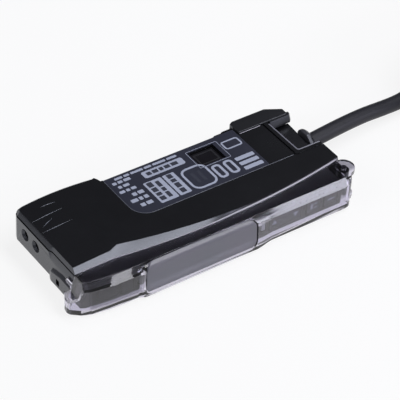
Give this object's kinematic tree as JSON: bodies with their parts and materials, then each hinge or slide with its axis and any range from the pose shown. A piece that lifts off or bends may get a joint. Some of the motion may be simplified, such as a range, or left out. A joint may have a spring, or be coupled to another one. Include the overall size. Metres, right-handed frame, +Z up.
{
  "type": "fibre optic sensor amplifier",
  "caption": "Slim rail-mounted amplifier for fibre sensors, lying on its side: black case with label recess, smoke hinged cover over keys and read-outs, sprung rail hook, cable.",
  "frame": {"origin": "centre of the base of the amplifier's own box, without its free cable, as it lies on its plain side", "axes": "+X along the body from the fibre end to the cable end, -Y to the display side, +Y to the rail side, +Z up through the 10 mm thickness"},
  "size_m": [0.2432, 0.0388, 0.0223],
  "materials": {
    "black_plastic": "satin black moulding, fine texture",
    "smoke_plastic": "clear smoke grey polycarbonate",
    "lens_plastic": "smoke grey lens with a faint coating",
    "label_film": "dark blue-grey film label",
    "key_plastic": "grey moulded keys and straps",
    "spring_steel": "bright steel",
    "circuit_board": "green glass-epoxy board",
    "chip_black": "moulded chip package",
    "filter_red": "dark red infrared window",
    "clear_resin": "clear optical resin",
    "switch_body": "moulded switch and connector bodies",
    "display_face": "dark read-out face",
    "cable_sheath": "black flexible sheath",
    "lead_brown": "insulated lead",
    "lead_blue": "insulated lead",
    "lead_black": "insulated lead",
    "lead_orange": "insulated lead",
    "lead_pink": "insulated lead"
  },
  "bodies": {
    "case": {"main_case": "black_plastic", "side_cover": "black_plastic", "side_label": "label_film", "link_window": "filter_red", "link_window_under": "filter_red", "cable_bush": "black_plastic", "slider_spring": "spring_steel", "operation_panel": "black_plastic", "threshold_display": "display_face", "incident_display": "display_face", "output_light_guide": "clear_resin", "status_light_guide": "clear_resin", "tune_switch": "switch_body", "up_switch": "switch_body", "down_switch": "switch_body", "light_dark_switch": "switch_body", "mode_switch": "switch_body", "main_board": "circuit_board", "display_board": "circuit_board", "board_connector": "switch_body", "processor_chip": "chip_black", "output_driver": "chip_black", "fibre_holder": "black_plastic", "emitter_led": "clear_resin", "receiver_photodiode": "clear_resin", "receiver_shield": "spring_steel", "cable_tube": "cable_sheath", "cable_hank": "cable_sheath", "cable_tail": "cable_sheath", "hank_tie": "key_plastic", "lead_brown": "lead_brown", "lead_blue": "lead_blue", "lead_black": "lead_black", "lead_orange": "lead_orange", "lead_pink": "lead_pink"},
    "cover": {"protective_cover": "smoke_plastic", "display_window": "lens_plastic", "hinge_pin": "spring_steel"},
    "rail_hook": {"rail_slider": "black_plastic"},
    "lock": {"lock_button": "key_plastic", "fibre_clamp": "key_plastic"},
    "release": {"release_button": "key_plastic"},
    "tune": {"tune_button": "key_plastic"},
    "rocker": {"up_down_key": "key_plastic"},
    "light_dark": {"light_dark_button": "key_plastic"},
    "mode": {"mode_button": "key_plastic"}
  },
  "joints": [
    {"name": "cover_hinge", "type": "hinge", "parent": "case", "child": "cover", "pos_m": [0.03955, -0.0118, 0.005], "axis": [0, 0, 1], "range_deg": [0, 130]},
    {"name": "rail_hook_slide", "type": "slide", "parent": "case", "child": "rail_hook", "axis": [1, 0, 0], "range_m": [0, 0.0016], "stiffness_N_per_m": 2500, "springref_m": -0.0008, "deforming": ["slider_spring"]},
    {"name": "lock_press", "type": "slide", "parent": "case", "child": "lock", "axis": [0, 1, 0], "range_m": [0, 0.0008]},
    {"name": "release_press", "type": "slide", "parent": "case", "child": "release", "axis": [0, 1, 0], "range_m": [0, 0.0008], "stiffness_N_per_m": 600, "springref_m": -0.0005},
    {"name": "tune_press", "type": "slide", "parent": "case", "child": "tune", "axis": [0, 1, 0], "range_m": [0, 0.00035], "stiffness_N_per_m": 600, "springref_m": -0.0005},
    {"name": "up_down_rock", "type": "hinge", "parent": "case", "child": "rocker", "pos_m": [0.0185, -0.01355, 0.005], "axis": [0, 0, 1], "range_deg": [-3, 3], "stiffness_Nm_per_rad": 0.02},
    {"name": "light_dark_press", "type": "slide", "parent": "case", "child": "light_dark", "axis": [0, 1, 0], "range_m": [0, 0.00035], "stiffness_N_per_m": 600, "springref_m": -0.0005},
    {"name": "mode_press", "type": "slide", "parent": "case", "child": "mode", "axis": [0, 1, 0], "range_m": [0, 0.00035], "stiffness_N_per_m": 600, "springref_m": -0.0005}
  ]
}
